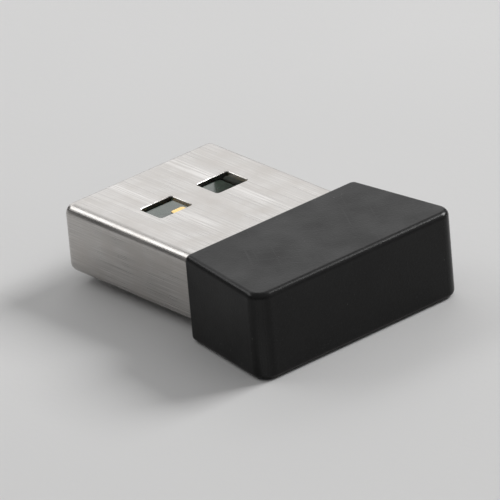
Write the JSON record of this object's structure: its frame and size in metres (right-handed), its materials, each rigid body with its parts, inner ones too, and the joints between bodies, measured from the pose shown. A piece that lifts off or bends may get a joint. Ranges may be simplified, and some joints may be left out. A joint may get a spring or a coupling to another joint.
{
  "type": "nano usb wi-fi adapter",
  "caption": "Nano USB Wi-Fi adapter: a small black moulded cap, wider at its outer end, on a sheet-metal USB-A plug, with its circuit board, contacts, radio chip and printed antenna inside.",
  "frame": {"origin": "centre of the USB plug where it leaves the cap, on the cap's port-side face", "axes": "+Y is the way the plug goes into a port, so the cap's outer end is at -Y; +Z is the cap's top; +X is to the right seen from the cap's outer end"},
  "size_m": [0.0156, 0.02, 0.0056],
  "materials": {
    "cap_plastic": "satin black moulded ABS with a fine even grain",
    "shell_metal": "nickel-plated steel sheet, lightly brushed along the plug",
    "insert_plastic": "matt black glass-filled moulding",
    "board_laminate": "green solder mask on glass-fibre laminate",
    "contact_gold": "gold plate on nickel",
    "antenna_copper": "copper foil under clear lacquer",
    "chip_epoxy": "matt black moulding compound",
    "crystal_ceramic": "unglazed brown-grey ceramic",
    "crystal_metal": "gold-flashed nickel-iron lid, satin",
    "capacitor_ceramic": "tan ceramic with tinned ends",
    "resistor_ceramic": "black glaze on white ceramic with tinned ends",
    "ferrite": "dark grey ferrite with tinned ends"
  },
  "bodies": {
    "root": {"cap_cover": "cap_plastic", "cap_base": "cap_plastic", "usb_shell": "shell_metal", "plug_carrier": "insert_plastic", "board_clamp": "insert_plastic", "circuit_board": "board_laminate", "contact_vbus": "contact_gold", "contact_data_minus": "contact_gold", "contact_data_plus": "contact_gold", "contact_ground": "contact_gold", "antenna_trace": "antenna_copper", "wifi_chip": "chip_epoxy", "voltage_regulator": "chip_epoxy", "crystal_base": "crystal_ceramic", "crystal_lid": "crystal_metal", "power_inductor": "ferrite", "ferrite_bead": "ferrite", "input_capacitor": "capacitor_ceramic", "output_capacitor": "capacitor_ceramic", "crystal_load_capacitor_1": "capacitor_ceramic", "crystal_load_capacitor_2": "capacitor_ceramic", "decoupling_capacitor_1": "capacitor_ceramic", "decoupling_capacitor_2": "capacitor_ceramic", "decoupling_capacitor_3": "capacitor_ceramic", "decoupling_capacitor_4": "capacitor_ceramic", "decoupling_capacitor_5": "capacitor_ceramic", "decoupling_capacitor_6": "capacitor_ceramic", "antenna_match_capacitor_1": "capacitor_ceramic", "antenna_match_inductor": "capacitor_ceramic", "antenna_match_capacitor_2": "capacitor_ceramic", "bias_resistor": "resistor_ceramic", "data_resistor_1": "resistor_ceramic", "data_resistor_2": "resistor_ceramic"}
  },
  "joints": []
}
